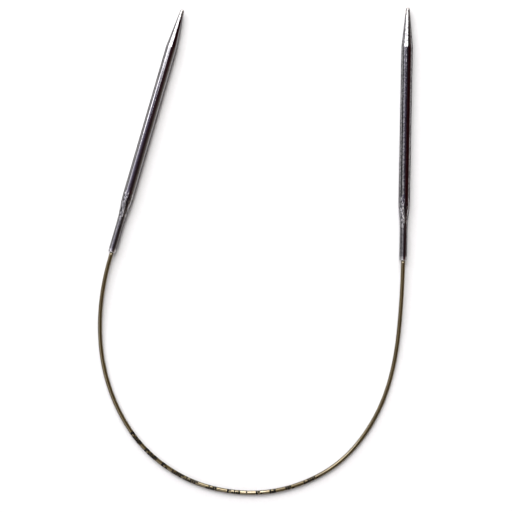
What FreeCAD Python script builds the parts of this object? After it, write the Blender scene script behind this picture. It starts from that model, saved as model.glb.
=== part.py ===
"""Circular knitting needle: two hollow metal needles joined by one nylon cable.

Millimetres, +Z up. z = 0 is the table that the needles lie on, +Y runs from the
cable's bend towards the points, and the origin is under the middle of the two needles.
Each needle's mouth, where the cable comes out, is at one end of the cable's route,
and the needle points back along the route's first run.
"""

import FreeCAD, Part
import Sketcher
from FreeCAD import Placement, Rotation, Vector
from math import asin, degrees, dist, pi, tan

SIZES = [
    ("needle_length", 90.0, "one needle, from its mouth to its point"),
    ("shaft_diameter", 4.0, "the needle's gauge"),
    ("point_length", 14.0, "the tapered point"),
    ("point_radius", 0.7, "rounding of the blunt point"),
    ("neck_length", 11.0, "the thin tail end that holds the cable"),
    ("neck_diameter", 2.7, "outside of the neck"),
    ("shoulder_length", 10.5, "the flowing taper from the neck up to the shaft"),
    ("lip_radius", 0.35, "rounding of the neck's mouth"),
    ("wall", 0.6, "wall of the drawn tube"),
    ("hollow_point", 8.0, "how far the hollow runs on into the point"),
    ("cable_diameter", 1.5, "the nylon cable"),
    ("tail_length", 12.5, "how far the cable runs on inside the neck"),
]

# The cable's route, from the left mouth round the bend to the right mouth. The cable
# leaves both necks level, comes down to the table and lies on it the rest of the way.
ROUTE = [
    (-52.9, -42.1, 2.0),
    (-56.4, -54.1, 2.0),
    (-57.2, -77.0, 0.75),
    (-51.7, -96.6, 0.75),
    (-41.0, -113.0, 0.75),
    (-24.3, -124.4, 0.75),
    (-5.3, -128.6, 0.75),
    (12.1, -126.2, 0.75),
    (29.0, -117.5, 0.75),
    (41.2, -102.0, 0.75),
    (48.0, -83.2, 0.75),
    (50.55, -58.0, 2.0),
    (50.8, -45.0, 2.0),
]
ARC_SHARE = 0.45  # how much of the shorter of its two runs each arc takes up
VOLUME_SHARE = 0.002  # how far the cable's volume may be from its section times its length
HOLLOW_SHARE = 0.8  # a hollow needle has less than this share of a solid one's metal
TOUCHING = 1e-4

FIRST, LAST, CENTRE = 1, 2, 3  # the points of a sketch's line or arc
SKETCH_AXIS = -1  # a sketch's own horizontal axis, whose first point is its origin


def make_sheet(doc):
    sheet = doc.addObject("Spreadsheet::Sheet", "sizes")
    for row, (alias, value, meaning) in enumerate(SIZES, start=1):
        sheet.set(f"A{row}", alias)
        sheet.set(f"B{row}", str(value))
        sheet.set(f"C{row}", meaning)
        sheet.setAlias(f"B{row}", alias)
    doc.recompute()
    return sheet


def new_sketch(body, name, plane):
    sketch = body.newObject("Sketcher::SketchObject", name)
    support = next(f for f in body.Origin.OriginFeatures if f.Role == plane)
    sketch.AttachmentSupport = [(support, "")]
    sketch.MapMode = "FlatFace"
    return sketch


def draw_lines(sketch, corners):
    """Straight lines from each corner to the next, joined end to end."""
    lines = [
        sketch.addGeometry(Part.LineSegment(Vector(*a, 0), Vector(*b, 0)), False)
        for a, b in zip(corners, corners[1:])
    ]
    for line, following in zip(lines, lines[1:]):
        sketch.addConstraint(
            Sketcher.Constraint("Coincident", line, LAST, following, FIRST)
        )
    return lines


def constrain(sketch, kind, *where):
    sketch.addConstraint(Sketcher.Constraint(kind, *where))


def dimension(sketch, name, expression, kind, *where):
    """A named dimension that follows the sheet. The last of where is its first value."""
    number = sketch.addConstraint(Sketcher.Constraint(kind, *where))
    sketch.renameConstraint(number, name)
    sketch.setExpression(f"Constraints.{name}", expression)


def draw_arc(sketch, centre, radius, begin, finish):
    """An arc that runs anticlockwise between two angles, in radians."""
    circle = Part.Circle(Vector(*centre, 0), Vector(0, 0, 1), radius)
    return sketch.addGeometry(Part.ArcOfCircle(circle, begin, finish), False)


def draw_tube(sketch, sheet, thin, thick, end, tip):
    """Half of a tube's outline, thin at the neck and thick at the shaft, from the mouth to end.

    The shoulder is two equal arcs, tangent to each other, to the neck and to the shaft.
    Returns the lines that the two ends of the outline hang on.
    """
    neck_end, shaft_end = sheet.neck_length, sheet.needle_length - sheet.point_length
    shoulder_end = neck_end + sheet.shoulder_length
    axis, mouth, neck_line = draw_lines(
        sketch, [(end, 0), (0, 0), (0, thin), (neck_end, thin)]
    )
    shaft_line, taper = draw_lines(
        sketch, [(shoulder_end, thick), (shaft_end, thick), (end - tip, tip)]
    )
    rise, run = (thick - thin) / 2, sheet.shoulder_length / 2
    radius = (rise**2 + run**2) / (2 * rise)
    turn = asin(run / radius)
    hollow_arc = draw_arc(sketch, (neck_end, thin + radius), radius, -pi / 2, -pi / 2 + turn)
    round_arc = draw_arc(sketch, (shoulder_end, thick - radius), radius, pi / 2, pi / 2 + turn)
    constrain(sketch, "Coincident", mouth, FIRST, SKETCH_AXIS, FIRST)
    constrain(sketch, "Horizontal", axis)
    constrain(sketch, "Vertical", mouth)
    constrain(sketch, "Horizontal", neck_line)
    constrain(sketch, "Horizontal", shaft_line)
    constrain(sketch, "Tangent", neck_line, LAST, hollow_arc, FIRST)
    constrain(sketch, "Tangent", hollow_arc, LAST, round_arc, LAST)
    constrain(sketch, "Tangent", round_arc, FIRST, shaft_line, FIRST)
    constrain(sketch, "Equal", hollow_arc, round_arc)
    along = "DistanceX", mouth, FIRST
    dimension(sketch, "neck_end", "sizes.neck_length", *along, neck_line, LAST, neck_end)
    dimension(
        sketch,
        "shoulder_end",
        "sizes.neck_length + sizes.shoulder_length",
        *along, shaft_line, FIRST, shoulder_end,
    )
    dimension(
        sketch,
        "shaft_end",
        "sizes.needle_length - sizes.point_length",
        *along, shaft_line, LAST, shaft_end,
    )
    return axis, mouth, shaft_line, taper


def draw_outside(body, sheet):
    """Half the needle's outline: mouth, neck, shoulder, shaft, and tapered, rounded point."""
    sketch = new_sketch(body, f"{body.Name}_outside", "XY_Plane")
    neck, shaft, tip = sheet.neck_diameter / 2, sheet.shaft_diameter / 2, sheet.point_radius
    axis, mouth, shaft_line, taper = draw_tube(sketch, sheet, neck, shaft, sheet.needle_length, tip)
    rounding = draw_arc(sketch, (sheet.needle_length - tip, 0), tip, 0, pi / 2)
    constrain(sketch, "PointOnObject", rounding, CENTRE, SKETCH_AXIS)
    constrain(sketch, "Coincident", rounding, FIRST, axis, FIRST)
    constrain(sketch, "Tangent", taper, LAST, rounding, LAST)
    up, along = ("DistanceY", mouth, FIRST), ("DistanceX", mouth, FIRST)
    dimension(sketch, "neck", "sizes.neck_diameter / 2", *up, mouth, LAST, neck)
    dimension(sketch, "shaft", "sizes.shaft_diameter / 2", *up, shaft_line, FIRST, shaft)
    dimension(sketch, "length", "sizes.needle_length", *along, axis, FIRST, sheet.needle_length)
    dimension(sketch, "point", "sizes.point_radius", "Radius", rounding, tip)
    return sketch


def draw_inside(body, sheet):
    """Half the hollow's outline: the cable's bore, then the tube's inside, closed in the point."""
    sketch = new_sketch(body, f"{body.Name}_inside", "XY_Plane")
    bore, hollow = sheet.cable_diameter / 2, sheet.shaft_diameter / 2 - sheet.wall
    end = sheet.needle_length - sheet.point_length + sheet.hollow_point
    axis, mouth, tube_line, taper = draw_tube(sketch, sheet, bore, hollow, end, 0)
    constrain(sketch, "Coincident", taper, LAST, axis, FIRST)
    up, along = ("DistanceY", mouth, FIRST), ("DistanceX", mouth, FIRST)
    dimension(sketch, "bore", "sizes.cable_diameter / 2", *up, mouth, LAST, bore)
    dimension(
        sketch,
        "hollow",
        "sizes.shaft_diameter / 2 - sizes.wall",
        *up, tube_line, FIRST, hollow,
    )
    dimension(
        sketch,
        "hollow_end",
        "sizes.needle_length - sizes.point_length + sizes.hollow_point",
        *along, axis, FIRST, end,
    )
    return sketch


def mouth_edge(shape, radius):
    """The name of the needle's outer edge at its mouth, which is at local X = 0."""
    for number, edge in enumerate(shape.Edges, start=1):
        if edge.Degenerated or not isinstance(edge.Curve, Part.Circle):
            continue
        if dist((edge.Curve.Center.x, edge.Curve.Radius), (0, radius)) < TOUCHING:
            return f"Edge{number}"
    raise RuntimeError("the mouth's edge wasn't found")


def make_needle(doc, sheet, label, place):
    """A drawn metal tube: turned to its outline, hollow inside, and bored for the cable."""
    body = doc.addObject("PartDesign::Body", label)
    outside = draw_outside(body, sheet)
    turned = body.newObject("PartDesign::Revolution", f"{label}_turned")
    turned.Profile = outside
    turned.ReferenceAxis = (outside, ["H_Axis"])
    turned.Angle = 360
    doc.recompute()
    lip = body.newObject("PartDesign::Fillet", f"{label}_lip")
    lip.Base = (turned, [mouth_edge(turned.Shape, sheet.neck_diameter / 2)])
    lip.setExpression("Radius", "sizes.lip_radius")
    doc.recompute()
    inside = draw_inside(body, sheet)
    hollow = body.newObject("PartDesign::Groove", f"{label}_hollow")
    hollow.Profile = inside
    hollow.ReferenceAxis = (inside, ["H_Axis"])
    hollow.Angle = 360
    doc.recompute()
    if hollow.Shape.Volume > HOLLOW_SHARE * lip.Shape.Volume:
        raise RuntimeError(f"the hollow of {label} cut nothing")
    for sketch in (outside, inside):
        if not sketch.FullyConstrained:
            raise RuntimeError(f"{sketch.Name} isn't fully constrained")
    body.Placement = place
    return body


def make_tail(doc, sheet, label, place):
    """The cable's own end, held in the neck's bore."""
    body = doc.addObject("PartDesign::Body", label)
    sketch = new_sketch(body, f"{label}_section", "YZ_Plane")
    radius = sheet.cable_diameter / 2
    circle = sketch.addGeometry(Part.Circle(Vector(0, 0, 0), Vector(0, 0, 1), radius), False)
    constrain(sketch, "Coincident", circle, CENTRE, SKETCH_AXIS, FIRST)
    dimension(sketch, "section", "sizes.cable_diameter / 2", "Radius", circle, radius)
    pad = body.newObject("PartDesign::Pad", f"{label}_run")
    pad.Profile = sketch
    pad.setExpression("Length", "sizes.tail_length")
    doc.recompute()
    body.Placement = place
    return body


def route_wire(points):
    """The route as straight runs joined by tangent arcs, and the arcs' radii."""
    edges, radii, at = [], [], points[0]
    for before, corner, after in zip(points, points[1:], points[2:]):
        arriving, leaving = (corner - before).normalize(), (after - corner).normalize()
        half_turn = arriving.getAngle(leaving) / 2
        setback = ARC_SHARE * min(before.distanceToPoint(corner), corner.distanceToPoint(after))
        radius = setback / tan(half_turn)
        begin, finish = corner - arriving * setback, corner + leaving * setback
        centre_way = (leaving - arriving).normalize()
        to_centre = (radius**2 + setback**2) ** 0.5
        middle = corner + centre_way * (to_centre - radius)
        edges += [
            Part.LineSegment(at, begin).toShape(),
            Part.Arc(begin, middle, finish).toShape(),
        ]
        radii.append((radius, degrees(2 * half_turn)))
        at = finish
    edges.append(Part.LineSegment(at, points[-1]).toShape())
    return Part.Wire(edges), radii


def make_cable(doc, sheet, points):
    """The free cable: its round section swept along the route."""
    wire, radii = route_wire(points)
    for number, (radius, turn) in enumerate(radii, start=1):
        print(f"cable corner {number}: radius {radius:.1f} mm, turn {turn:.1f} degrees")
    print(f"cable length {wire.Length:.1f} mm")
    route = doc.addObject("Part::Feature", "cable_route")
    route.Shape = wire
    section = doc.addObject("Part::Circle", "cable_section")
    section.setExpression("Radius", "sizes.cable_diameter / 2")
    section.Placement = Placement(points[0], Rotation(Vector(0, 0, 1), points[1] - points[0]))
    cable = doc.addObject("Part::Sweep", "cable")
    cable.Sections = [section]
    cable.Spine = (route, [f"Edge{n}" for n in range(1, len(wire.Edges) + 1)])
    cable.Solid = True
    cable.Frenet = False
    doc.recompute()
    expected = pi * sheet.cable_diameter**2 / 4 * wire.Length
    if abs(cable.Shape.Volume / expected - 1) > VOLUME_SHARE:
        raise RuntimeError(
            f"the cable's volume is {cable.Shape.Volume:.2f}, and {expected:.2f} is expected"
        )
    return cable


def check_and_write(doc, parts):
    doc.recompute()
    for thing in doc.Objects:
        if {"Invalid", "Error"} & set(thing.State):
            raise RuntimeError(f"{thing.Name} is {thing.State}")
    for part in parts:
        if part.Shape.isNull() or not part.Shape.isValid() or len(part.Shape.Solids) != 1:
            raise RuntimeError(f"{part.Label} isn't one valid solid")
    for part in parts:
        part.Shape.exportStep(f"parts/{part.Label}.step")


def main():
    doc = FreeCAD.newDocument("circular_knitting_needle")
    sheet = make_sheet(doc)
    points = [Vector(*point) for point in ROUTE]
    parts = []
    for side, mouth, next_point in (("left", points[0], points[1]), ("right", points[-1], points[-2])):
        place = Placement(mouth, Rotation(Vector(1, 0, 0), mouth - next_point))
        parts.append(make_needle(doc, sheet, f"{side}_needle", place))
        parts.append(make_tail(doc, sheet, f"{side}_cable_tail", place))
    parts.append(make_cable(doc, sheet, points))
    check_and_write(doc, parts)


main()
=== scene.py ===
"""Looks for the circular knitting needle: two nickel-plated needles and the nylon cable between them.

Every length is in metres, in the CAD's own frame: Z up, the table at z = 0, the needles' points towards +Y.
The needles and the cable's tails are the CAD's own meshes, with materials made here. The cable is a new mesh
that follows the CAD's route between the two bodies, and its printed size marks lie on it.
"""
import math

import bpy
from mathutils import Matrix, Vector


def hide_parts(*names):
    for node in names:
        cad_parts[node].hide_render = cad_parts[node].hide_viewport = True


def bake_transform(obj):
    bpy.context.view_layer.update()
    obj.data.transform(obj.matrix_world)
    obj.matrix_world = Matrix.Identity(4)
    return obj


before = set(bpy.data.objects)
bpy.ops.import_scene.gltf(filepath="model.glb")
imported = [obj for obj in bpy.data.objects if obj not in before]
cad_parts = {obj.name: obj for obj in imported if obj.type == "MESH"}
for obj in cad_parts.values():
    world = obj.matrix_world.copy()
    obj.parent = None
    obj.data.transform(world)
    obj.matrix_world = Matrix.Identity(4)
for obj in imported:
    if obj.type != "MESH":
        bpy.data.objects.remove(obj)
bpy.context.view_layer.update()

MM = 0.001
UP = Vector((0, 0, 1))

CABLE_D = 1.5 * MM
CABLE_R = CABLE_D / 2
CABLE_SIDES = 32
POINTS_PER_SPAN = 24  # how finely the spline is divided between two of its control points

# The cable's route, from the left needle's mouth round to the right needle's. It is part.py's in metres, with
# the points of its left leg moved by up to 0.5 mm to follow the photo more closely.
ROUTE = [
    (-0.0529, -0.0421, 0.0020),
    (-0.0567, -0.0541, 0.0020),
    (-0.0576, -0.0771, 0.00075),
    (-0.0521, -0.0969, 0.00075),
    (-0.0413, -0.1134, 0.00075),
    (-0.0244, -0.1247, 0.00075),
    (-0.0053, -0.1286, 0.00075),
    (0.0121, -0.1262, 0.00075),
    (0.0290, -0.1175, 0.00075),
    (0.0412, -0.1020, 0.00075),
    (0.0480, -0.0832, 0.00075),
    (0.05055, -0.0580, 0.0020),
    (0.0508, -0.0450, 0.0020),
]

# Each needle's mouth and the way that its point lies from there.
LEFT_MOUTH, LEFT_WAY = (-0.0529, -0.0421, 0.002), (0.28, 0.96)
RIGHT_MOUTH, RIGHT_WAY = (0.0508, -0.0450, 0.002), (0.01923, 0.99981)

# Distances from a needle's mouth to where its neck, its shoulder and the needle itself end.
NECK_END, SHOULDER_END, NEEDLE_END = 11.0 * MM, 21.5 * MM, 90.0 * MM


# ---------------------------------------------------------------- camera

CAMERA_HEIGHT = 0.62
NEEDLE_AXIS_HEIGHT = 2 * MM
WIDTH_SEEN = 0.1823  # at the height of the needles' axes
VIEW_CENTRE = (-0.00157, -0.0434)
SENSOR_WIDTH_MM = 36.0


def make_camera():
    """Straight above the object, with +Y up in the picture and a long lens."""
    data = bpy.data.cameras.new("camera")
    data.sensor_width = SENSOR_WIDTH_MM
    data.lens = SENSOR_WIDTH_MM * (CAMERA_HEIGHT - NEEDLE_AXIS_HEIGHT) / WIDTH_SEEN
    data.clip_start, data.clip_end = 0.01, 20.0
    camera = bpy.data.objects.new("camera", data)
    camera.location = (*VIEW_CENTRE, CAMERA_HEIGHT)
    bpy.context.scene.collection.objects.link(camera)
    bpy.context.scene.camera = camera


make_camera()


# ---------------------------------------------------------------- node helpers

def opaque(colour):
    """A colour with its alpha. What another node gives is passed on as it is."""
    return (*colour, 1.0) if isinstance(colour, tuple) else colour


def grey(value):
    return (value, value, value)


class Nodes:
    """A short way to write a node tree."""

    def __init__(self, tree):
        self.tree = tree
        tree.nodes.clear()

    def add(self, kind, inputs=None, **settings):
        node = self.tree.nodes.new(kind)
        for key, value in settings.items():
            setattr(node, key, value)
        for key, value in (inputs or {}).items():
            self.put(node.inputs[key], value)
        return node

    def put(self, socket, value):
        if isinstance(value, bpy.types.NodeSocket):
            self.tree.links.new(value, socket)
        else:
            socket.default_value = value

    def coordinate(self, output):
        return self.add("ShaderNodeTexCoord").outputs[output]

    def math(self, operation, a, b=0.0, clamp=False):
        settings = {"operation": operation, "use_clamp": clamp}
        return self.add("ShaderNodeMath", {0: a, 1: b}, **settings).outputs[0]

    def times(self, a, b):
        return self.math("MULTIPLY", a, b)

    def plus(self, a, b, clamp=False):
        return self.math("ADD", a, b, clamp)

    def vector(self, operation, a, b):
        return self.add("ShaderNodeVectorMath", {0: a, 1: b}, operation=operation).outputs[0]

    def scaled(self, place, factors):
        """A place with each axis scaled: a texture is drawn out along an axis whose factor is small."""
        return self.vector("MULTIPLY", place, factors)

    def step(self, value, low, high, to_low=0.0, to_high=1.0):
        """A smooth step between two values."""
        inputs = {0: value, 1: low, 2: high, 3: to_low, 4: to_high}
        return self.add("ShaderNodeMapRange", inputs, interpolation_type="SMOOTHSTEP").outputs[0]

    def mix(self, factor, a, b):
        """A mix of two colours: the node's inputs 6 and 7 and its output 2 are the ones for colours."""
        node = self.add("ShaderNodeMix", data_type="RGBA")
        self.put(node.inputs[0], factor)
        self.put(node.inputs[6], opaque(a))
        self.put(node.inputs[7], opaque(b))
        return node.outputs[2]

    def noise(self, place, scale, detail, roughness=0.5):
        inputs = {"Vector": place, "Scale": scale, "Detail": detail, "Roughness": roughness}
        return self.add("ShaderNodeTexNoise", inputs).outputs[0]

    def ramp(self, value, stops):
        node = self.add("ShaderNodeValToRGB", {0: value})
        elements = node.color_ramp.elements
        for element, (place, colour) in zip(elements, (stops[0], stops[-1])):
            element.position, element.color = place, opaque(colour)
        for place, colour in stops[1:-1]:
            elements.new(place).color = opaque(colour)
        return node.outputs[0]

    def bump(self, height, strength, distance, normal=None):
        inputs = {"Height": height, "Strength": strength, "Distance": distance}
        if normal is not None:
            inputs["Normal"] = normal
        return self.add("ShaderNodeBump", inputs).outputs[0]


def new_material(name):
    material = bpy.data.materials.new(name)
    material.use_nodes = True
    return material, Nodes(material.node_tree)


def finish_material(n, **inputs):
    """The surface, from the Principled shader's inputs, whose names have _ in place of a space."""
    named = {key.replace("_", " "): value for key, value in inputs.items()}
    shader = n.add("ShaderNodeBsdfPrincipled", named)
    n.add("ShaderNodeOutputMaterial", {0: shader.outputs[0]})


# ---------------------------------------------------------------- materials

# Colours are linear red, green and blue.
BLACK = (0.0, 0.0, 0.0)

PLATE, PLATE_CLOUDED = (0.30, 0.292, 0.298), (0.265, 0.258, 0.262)
PLATE_PIT, PLATE_GRAIN = (0.30, 0.27, 0.26), (0.12, 0.116, 0.12)
DENT_DARK, DENT_BRIGHT = (0.15, 0.146, 0.15), (0.46, 0.45, 0.46)
# The lip's colour is a painted highlight: it brightens the plate in a band round each needle's mouth.
WORN_TIP, DULL_NECK, LIP_PAINTED_HIGHLIGHT = (0.50, 0.45, 0.38), (0.14, 0.136, 0.142), (0.62, 0.61, 0.62)

AMBER, AMBER_DEEP = (0.126, 0.100, 0.040), (0.098, 0.077, 0.030)
AMBER_STREAK, AMBER_SPECK = (0.095, 0.062, 0.022), (0.26, 0.20, 0.11)
AMBER_SKIN = (0.86, 0.78, 0.54)

INK_THICK, INK_THIN = (0.003, 0.003, 0.003), (0.012, 0.010, 0.007)
PAPER_DIM, PAPER_BRIGHT = (0.585, 0.585, 0.58), (0.605, 0.605, 0.602)

# How strong the plate's grain is on each needle.
LEFT_GRIT, RIGHT_GRIT = 0.6, 1.6


def along_needle(n, mouth, way):
    """Coordinates with their origin at a needle's mouth and Y along the needle, and that Y."""
    turn = math.pi / 2 - math.atan2(way[1], way[0])
    from_mouth = n.vector("SUBTRACT", n.coordinate("Object"), mouth)
    local = n.add("ShaderNodeMapping", {"Vector": from_mouth, "Rotation": (0, 0, turn)}).outputs[0]
    return local, n.add("ShaderNodeSeparateXYZ", {0: local}).outputs["Y"]


def nickel(name, mouth, way, grit):
    """Polished nickel plate: fine lines along the shaft, small pits, the swaging's mottled dents, and a
    painted highlight round the mouth.
    """
    material, n = new_material(name)
    local, along = along_needle(n, mouth, way)

    # How much each zone of the needle counts, place by place.
    shoulder = n.times(
        n.step(along, NECK_END - 2 * MM, NECK_END + 3 * MM),
        n.step(along, SHOULDER_END - 1 * MM, SHOULDER_END + 2 * MM, 1.0, 0.0),
    )
    neck = n.step(along, SHOULDER_END - 3 * MM, SHOULDER_END + 2 * MM, 1.0, 0.0)
    dull = n.step(along, NECK_END - 1 * MM, NECK_END + 3 * MM, 0.45, 0.0)
    # A painted highlight: brighter plate in a band round the mouth.
    lip_highlight = n.step(along, 0.7 * MM, 1.9 * MM, 0.8, 0.0)
    tip = n.step(along, NEEDLE_END - 4 * MM, NEEDLE_END)

    lines = n.noise(n.scaled(local, (1.0, 0.03, 1.0)), 9000.0, 3.0)
    pits = n.noise(local, 5200.0, 2.0)
    cloud = n.noise(n.scaled(local, (1.0, 0.35, 1.0)), 420.0, 4.0)
    grain = n.noise(n.scaled(local, (1.0, 0.75, 1.0)), 1700.0, 1.0)
    hammer = n.noise(n.scaled(local, (1.0, 0.6, 1.0)), 1500.0, 1.0, 0.35)

    colour = n.mix(n.step(cloud, 0.35, 0.68), PLATE, PLATE_CLOUDED)
    colour = n.mix(n.times(n.step(pits, 0.66, 0.80), 0.5), colour, PLATE_PIT)
    colour = n.mix(n.times(tip, n.step(cloud, 0.30, 0.60, 0.15, 0.45)), colour, WORN_TIP)
    colour = n.mix(n.step(grain, 0.44, 0.60, 0.0, 0.44 * grit), colour, PLATE_GRAIN)
    mottle = n.mix(n.step(hammer, 0.42, 0.58), DENT_DARK, DENT_BRIGHT)
    colour = n.mix(n.times(shoulder, 0.8), colour, mottle)
    colour = n.mix(dull, colour, DULL_NECK)
    # Painted highlight: the brighter band of plate round the mouth.
    colour = n.mix(lip_highlight, colour, LIP_PAINTED_HIGHLIGHT)

    rough = n.step(cloud, 0.25, 0.75, 0.045, 0.075)
    rough = n.plus(rough, n.times(n.math("SUBTRACT", lines, 0.5), 0.06))
    rough = n.plus(rough, n.times(neck, 0.10))
    rough = n.plus(rough, n.times(shoulder, n.step(hammer, 0.3, 0.7, -0.04, 0.08)), clamp=True)

    normal = n.bump(lines, 0.25, 0.004 * MM)
    normal = n.bump(pits, 0.30, 0.006 * MM, normal)
    normal = n.bump(grain, grit, 0.012 * MM, normal)
    dents = n.times(hammer, n.plus(shoulder, n.times(neck, 0.3)))
    normal = n.bump(dents, 0.9, 0.16 * MM, normal)
    finish_material(
        n, Base_Color=colour, Metallic=1.0, Roughness=rough, Specular_Tint=opaque(BLACK), Normal=normal,
    )
    return material


def nylon(name, uv=True):
    """Amber-brown nylon with a bright sheen and faint lines.

    The lines follow a piece that has the cable's UV map, and run along Y on one that has none.
    A part-metallic base under a tinted coat gives the sheen. No light passes through.
    """
    material, n = new_material(name)
    if uv:
        place = n.add("ShaderNodeUVMap", uv_map="along").outputs[0]
    else:
        place = n.scaled(n.coordinate("Object"), (1 / MM, 1 / MM, 1 / MM))
    streaks = n.noise(n.scaled(place, (9.0, 0.05, 1.0)), 4.0, 3.0)
    cloud = n.noise(n.scaled(place, (0.6, 0.09, 1.0)), 3.0, 3.0)
    specks = n.noise(n.scaled(place, (6.0, 1.6, 1.0)), 5.0, 2.0)
    colour = n.mix(n.step(cloud, 0.3, 0.7), AMBER, AMBER_DEEP)
    colour = n.mix(n.step(streaks, 0.35, 0.75, 0.0, 0.35), colour, AMBER_STREAK)
    colour = n.mix(n.step(specks, 0.68, 0.78, 0.0, 0.5), colour, AMBER_SPECK)
    rough = n.step(streaks, 0.3, 0.7, 0.15, 0.23)
    normal = n.bump(streaks, 0.25, 0.01 * MM)
    normal = n.bump(specks, 0.2, 0.01 * MM, normal)
    finish_material(
        n, Base_Color=colour, Metallic=0.75, Roughness=rough, Specular_Tint=opaque(BLACK), Normal=normal,
        Coat_Weight=1.0, Coat_Roughness=0.12, Coat_IOR=1.65, Coat_Tint=opaque(AMBER_SKIN),
    )
    return material


def ink(name):
    """Black printing ink, a little thin in places."""
    material, n = new_material(name)
    grain = n.noise(n.coordinate("Object"), 4200.0, 3.0)
    colour = n.mix(n.step(grain, 0.4, 0.75), INK_THICK, INK_THIN)
    rough = n.step(grain, 0.3, 0.7, 0.6, 0.8)
    normal = n.bump(grain, 0.2, 0.005 * MM)
    finish_material(n, Base_Color=colour, Roughness=rough, Specular_IOR_Level=0.05, Normal=normal)
    return material


def paper(name):
    """The plain pale floor."""
    material, n = new_material(name)
    grain = n.noise(n.coordinate("Object"), 900.0, 4.0)
    colour = n.mix(n.step(grain, 0.3, 0.7), PAPER_DIM, PAPER_BRIGHT)
    rough = n.step(grain, 0.3, 0.7, 0.75, 0.9)
    normal = n.bump(grain, 0.1, 0.02 * MM)
    finish_material(n, Base_Color=colour, Roughness=rough, Normal=normal)
    return material


# ---------------------------------------------------------------- the cable

def link(name, mesh, material):
    mesh.materials.append(material)
    made = bpy.data.objects.new(name, mesh)
    bpy.context.scene.collection.objects.link(made)
    return made


def route_line(points):
    """Points along the route's smooth NURBS spline."""
    curve = bpy.data.curves.new("route", "CURVE")
    curve.dimensions = "3D"
    spline = curve.splines.new("NURBS")
    spline.points.add(len(points) - 1)
    for point, place in zip(spline.points, points):
        point.co = (*place, 1.0)
    spline.order_u = 3
    spline.use_endpoint_u = True
    spline.resolution_u = POINTS_PER_SPAN
    holder = bpy.data.objects.new("route", curve)
    bpy.context.scene.collection.objects.link(holder)
    bpy.context.view_layer.update()
    evaluated = holder.evaluated_get(bpy.context.evaluated_depsgraph_get())
    mesh = bpy.data.meshes.new_from_object(evaluated)
    line = [v.co.copy() for v in mesh.vertices]
    bpy.data.meshes.remove(mesh)
    bpy.data.objects.remove(holder)
    bpy.data.curves.remove(curve)
    return line


def line_frames(line):
    """For each point: its distance along the line, the point, and the line's way, side and upper side."""
    frames, travelled = [], 0.0
    for i, point in enumerate(line):
        way = (line[min(i + 1, len(line) - 1)] - line[max(i - 1, 0)]).normalized()
        side = way.cross(UP).normalized()
        if i:
            travelled += (point - line[i - 1]).length
        frames.append((travelled, point, way, side, side.cross(way)))
    return frames


def frame_at(frames, distance):
    """The point, way, side and upper side at a distance along the line, between two of its points."""
    for before, after in zip(frames, frames[1:]):
        if after[0] >= distance:
            t = (distance - before[0]) / (after[0] - before[0])
            return [a.lerp(b, t) for a, b in zip(before[1:], after[1:])]
    return list(frames[-1][1:])


def make_tube(frames, radius, sides):
    """A closed round tube along the line. Its UV map has once round it in U, and millimetres in V."""
    verts, faces, uvs = [], [], []
    for travelled, point, way, side, up in frames:
        for k in range(sides):
            angle = 2 * math.pi * k / sides
            verts.append(point + radius * (math.cos(angle) * side + math.sin(angle) * up))
    for i in range(len(frames) - 1):
        a, b = i * sides, (i + 1) * sides
        low, high = frames[i][0] / MM, frames[i + 1][0] / MM
        for k in range(sides):
            j = (k + 1) % sides
            left, right = k / sides, (k + 1) / sides
            faces.append((a + k, b + k, b + j, a + j))
            uvs.append([(left, low), (left, high), (right, high), (right, low)])
    last = (len(frames) - 1) * sides
    caps = [
        (0, frames[0][0], range(sides)),
        (last, frames[-1][0], range(sides - 1, -1, -1)),
    ]
    for start, travelled, ring in caps:
        faces.append([start + k for k in ring])
        uvs.append([(k / sides, travelled / MM) for k in ring])
    mesh = bpy.data.meshes.new("tube")
    mesh.from_pydata(verts, [], faces)
    layer = mesh.uv_layers.new(name="along")
    for polygon, corners in zip(mesh.polygons, uvs):
        polygon.use_smooth = len(corners) == 4
        for loop, uv in zip(polygon.loop_indices, corners):
            layer.data[loop].uv = uv
    mesh.update()
    return mesh


LINE = route_line(ROUTE)
FRAMES = line_frames(LINE)
cable = link("nylon_cable", make_tube(FRAMES, CABLE_R, CABLE_SIDES), nylon("nylon"))


# ---------------------------------------------------------------- the size marks

# They stand for the size printing and are plain bars. For each group: how far along the cable its first bar
# is, in millimetres; how many bars it has; the angles from the cable's top that they lie between, in degrees,
# first on its left side and then on its right; and how many times their usual width they have.
GROUPS = [
    (67.2, 7, -80, 74, 1.3),
    (75.0, 7, -80, 74, 1.3),
    (82.9, 3, -76, 72, 1.3),
    (87.2, 13, -62, 74, 1.15),
    (100.6, 5, -66, 66, 1.25),
    (108.3, 6, -72, 52, 1.15),
    (115.0, 1, -44, 14, 1.0),
    (118.6, 3, -54, 56, 1.15),
    (123.5, 3, -66, 66, 1.3),
    (129.3, 4, -54, 66, 1.15),
    (136.1, 7, -50, 70, 1.1),
]
# The bars, one after another and then from the first again: where each one starts and ends across its group's
# angles, from 0 to 1, and its usual width in millimetres.
BARS = [
    (0.0, 1.0, 0.62),
    (0.0, 0.42, 0.60),
    (0.55, 1.0, 0.64),
    (0.0, 1.0, 0.46),
    (0.35, 1.0, 0.56),
    (0.0, 1.0, 0.60),
    (0.0, 0.66, 0.52),
]
MARK_PITCH = 0.80 * MM
MARK_PROUD, MARK_SUNK = 0.02 * MM, 0.03 * MM  # how far a pad stands out of the cable and reaches into it
MARK_ARCS = 12  # how many flat faces make up a pad's round side


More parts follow.
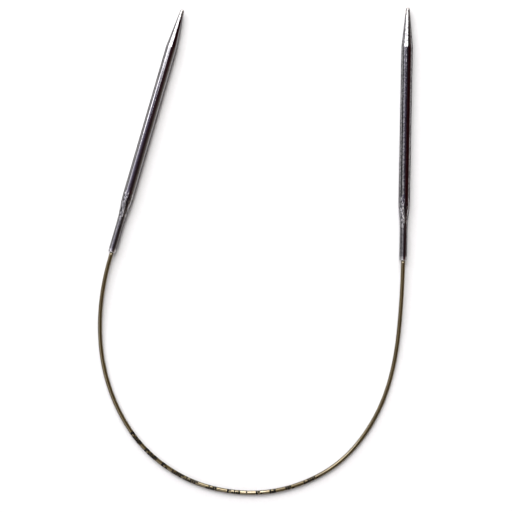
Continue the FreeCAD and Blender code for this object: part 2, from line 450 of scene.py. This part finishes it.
def add_pad(verts, faces, ends, angles):
    """One closed pad, bent round the cable's top between two angles and reaching between two frames."""
    base, row = len(verts), MARK_ARCS + 1
    for point, way, side, up in ends:
        for r in (CABLE_R - MARK_SUNK, CABLE_R + MARK_PROUD):
            for k in range(row):
                angle = angles[0] + (angles[1] - angles[0]) * k / MARK_ARCS
                verts.append(point + r * (math.sin(angle) * side + math.cos(angle) * up))
    inner0, outer0, inner1, outer1 = (base + row * k for k in range(4))
    for k in range(MARK_ARCS):
        faces.append((outer0 + k, outer0 + k + 1, outer1 + k + 1, outer1 + k))
        faces.append((inner0 + k + 1, inner0 + k, inner1 + k, inner1 + k + 1))
        faces.append((inner0 + k, inner0 + k + 1, outer0 + k + 1, outer0 + k))
        faces.append((inner1 + k + 1, inner1 + k, outer1 + k, outer1 + k + 1))
    faces.append((inner0, outer0, outer1, inner1))
    faces.append((outer0 + MARK_ARCS, inner0 + MARK_ARCS, inner1 + MARK_ARCS, outer1 + MARK_ARCS))


def make_marks(frames):
    """Thin closed pads on the cable's top, one for each bar."""
    verts, faces, count = [], [], 0
    for start, bars, left, right, boldness in GROUPS:
        for i in range(bars):
            low, high, width = BARS[count % len(BARS)]
            count += 1
            middle = start * MM + i * MARK_PITCH
            half = boldness * width * MM / 2
            ends = [frame_at(frames, middle - half), frame_at(frames, middle + half)]
            angles = [math.radians(left + (right - left) * across) for across in (low, high)]
            add_pad(verts, faces, ends, angles)
    mesh = bpy.data.meshes.new("marks")
    mesh.from_pydata(verts, [], faces)
    mesh.update()
    return mesh


marks = link("size_marks", make_marks(FRAMES), ink("ink"))

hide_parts("cable")
for piece in (cable, marks):
    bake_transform(piece)


# ---------------------------------------------------------------- the needles and the tails

def dress(node, material):
    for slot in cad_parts[node].material_slots:
        slot.material = material


TAIL_NYLON = nylon("nylon_tail", uv=False)
dress("left_needle", nickel("nickel_left", LEFT_MOUTH, LEFT_WAY, LEFT_GRIT))
dress("right_needle", nickel("nickel_right", RIGHT_MOUTH, RIGHT_WAY, RIGHT_GRIT))
dress("left_cable_tail", TAIL_NYLON)
dress("right_cable_tail", TAIL_NYLON)


# ---------------------------------------------------------------- floor and light

FLOOR_HALF = 4.0
POWER_PER_RADIANCE = 4  # an area light's power for each square metre and unit of radiance
WORLD_STRENGTH = 1.20

# Upright lights: each one's two ends on the floor plan, its bottom and top, and its radiance.
PANELS = {
    "window": ((0.28, 2.1), (-0.30, 2.1), 0.95, 9.0, 12.5),
    "wall_below": ((0.98, 1.88), (-0.50, 2.1), 0.1, 0.9, 1.6),
    "window_right": ((0.98, 1.88), (0.30, 2.1), 0.95, 6.0, 4.5),
    "window_left": ((-0.50, 2.1), (-1.20, 0.75), 0.6, 3.0, 1.8),
    "side_low": ((-0.43, 0.40), (-0.44, 0.138), 0.19, 0.30, 3.2),
    "side_middle": ((-0.39, 0.50), (-0.40, 0.185), 0.31, 0.60, 3.6),
    "side_high": ((-0.36, 0.60), (-0.36, 0.215), 0.60, 1.80, 3.1),
}

# The room's light by how high one looks: 0 is level and 1 is straight up. BESIDE is straight to that side,
# BEHIND is towards -Y, and each side's first ramp is for all the rest of it.
LEFT = [
    (0.0, grey(0.06)), (0.14, grey(0.20)), (0.30, (0.70, 0.69, 0.74)), (0.45, (1.70, 1.68, 1.79)),
    (0.62, (1.50, 1.46, 1.68)), (0.78, (0.50, 0.46, 0.62)), (0.93, (0.21, 0.18, 0.28)),
    (1.0, (0.07, 0.05, 0.08)),
]
LEFT_BESIDE = [
    (0.0, grey(0.01)), (0.22, grey(0.04)), (0.45, (0.18, 0.18, 0.19)), (0.74, (0.95, 0.95, 0.97)),
    (0.93, (0.80, 0.78, 0.80)), (1.0, (0.28, 0.23, 0.235)),
]
LEFT_BEHIND = [
    (0.0, grey(0.03)), (0.42, grey(0.22)), (0.60, (0.72, 0.70, 0.68)), (0.76, (1.90, 1.85, 1.80)),
    (0.89, (2.30, 2.24, 2.18)), (0.94, (1.4, 1.35, 1.3)), (0.975, grey(0.05)),
]
RIGHT = [
    (0.0, (0.45, 0.40, 0.35)), (0.22, (0.34, 0.29, 0.25)), (0.42, (0.20, 0.165, 0.14)),
    (0.60, (0.11, 0.09, 0.08)), (0.74, (0.065, 0.046, 0.046)), (0.86, (0.045, 0.026, 0.032)),
    (0.94, (0.03, 0.018, 0.024)), (1.0, (0.06, 0.042, 0.06)),
]
RIGHT_BESIDE = [
    (0.0, (0.5, 0.44, 0.40)), (0.13, (0.24, 0.18, 0.16)), (0.28, (0.085, 0.05, 0.045)),
    (0.42, (0.045, 0.015, 0.015)), (0.60, (0.032, 0.003, 0.005)), (0.86, (0.048, 0.006, 0.009)),
    (1.0, (0.10, 0.05, 0.055)),
]


def make_floor():
    corners = [(x * FLOOR_HALF, y * FLOOR_HALF, 0) for x, y in ((-1, -1), (1, -1), (1, 1), (-1, 1))]
    mesh = bpy.data.meshes.new("floor")
    mesh.from_pydata(corners, [], [(0, 1, 2, 3)])
    link("floor", mesh, paper("paper"))


def make_panel(name, start, end, bottom, top, radiance):
    """A soft upright light between two places. It shines to the left of the way from start to end."""
    along = Vector((end[0] - start[0], end[1] - start[1], 0))
    across = along.normalized()
    data = bpy.data.lights.new(name, "AREA")
    data.shape = "RECTANGLE"
    data.size, data.size_y = along.length, top - bottom
    data.energy = POWER_PER_RADIANCE * radiance * data.size * data.size_y
    panel = bpy.data.objects.new(name, data)
    panel.matrix_world = Matrix((across, UP, across.cross(UP))).transposed().to_4x4()
    panel.location = ((start[0] + end[0]) / 2, (start[1] + end[1]) / 2, (bottom + top) / 2)
    bpy.context.scene.collection.objects.link(panel)


def make_world():
    """A room that is dark overhead, pale on the left, and dim and brownish on the right."""
    world = bpy.data.worlds.new("room")
    world.use_nodes = True
    bpy.context.scene.world = world
    n = Nodes(world.node_tree)
    x, y, z = n.add("ShaderNodeSeparateXYZ", {0: n.coordinate("Generated")}).outputs

    # Which way one looks, on the floor plan: 1 is towards +Y, 0 is to the left or right, -1 is towards -Y.
    level = n.math("SQRT", n.plus(n.times(x, x), n.times(y, y)))
    ahead = n.math("DIVIDE", y, n.math("MAXIMUM", level, 0.001))
    behind = n.step(ahead, -0.30, -0.16, 1.0, 0.0)
    beside_left = n.times(n.step(ahead, -0.14, -0.06), n.step(ahead, 0.10, 0.20, 1.0, 0.0))
    beside_right = n.times(n.step(ahead, -0.20, -0.10), n.step(ahead, 0.24, 0.34, 1.0, 0.0))

    left = n.mix(behind, n.ramp(z, LEFT), n.ramp(z, LEFT_BEHIND))
    left = n.mix(beside_left, left, n.ramp(z, LEFT_BESIDE))
    right = n.mix(beside_right, n.ramp(z, RIGHT), n.ramp(z, RIGHT_BESIDE))
    colour = n.mix(n.step(x, -0.03, 0.12), left, right)
    shade = n.add("ShaderNodeBackground", {"Color": colour, "Strength": WORLD_STRENGTH}).outputs[0]
    n.add("ShaderNodeOutputWorld", {0: shade})


make_floor()
make_world()
for panel_name, panel_shape in PANELS.items():
    make_panel(panel_name, *panel_shape)
bpy.context.scene.view_settings.view_transform = "Standard"
